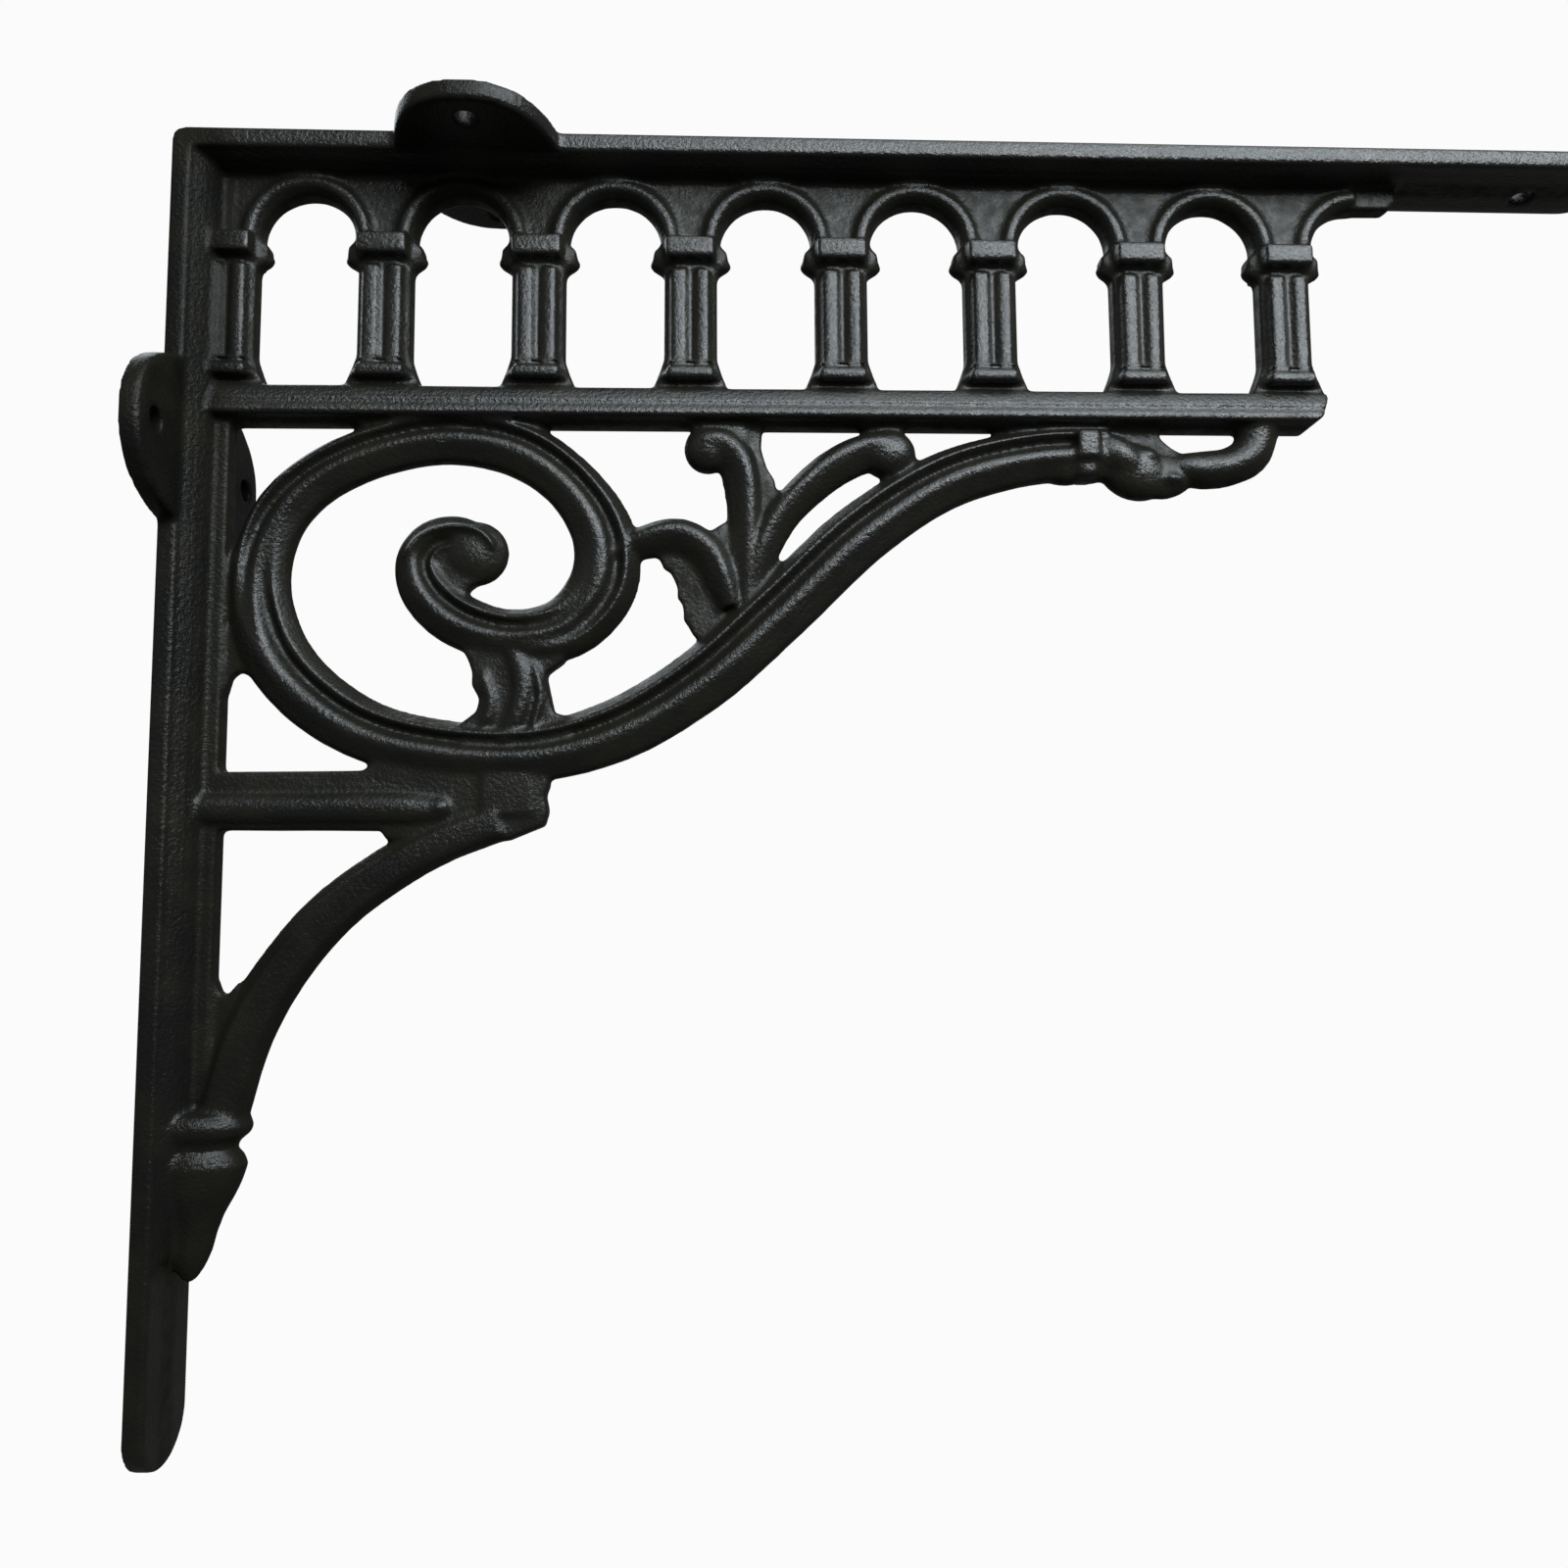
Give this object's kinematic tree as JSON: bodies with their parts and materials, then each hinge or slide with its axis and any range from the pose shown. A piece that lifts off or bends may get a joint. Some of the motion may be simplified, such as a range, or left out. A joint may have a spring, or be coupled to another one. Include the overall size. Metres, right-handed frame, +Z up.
{
  "type": "shelf bracket",
  "caption": "Right-angled cast iron shelf bracket with an arcade of round arches, a spiral scroll brace and screw lugs on the wall leg and shelf arm.",
  "frame": {"origin": "on the wall face of the leg, on its middle line between the two screw holes of its lug, 74 mm below the shelf face", "axes": "+X out from the wall along the shelf arm, +Y across the bracket, +Z up"},
  "size_m": [0.35, 0.0617, 0.3],
  "materials": {
    "iron": "dark sand-cast iron with a low satin sheen, worn slightly paler on the ridges"
  },
  "bodies": {
    "root": {"bracket_casting": "iron"}
  },
  "joints": []
}
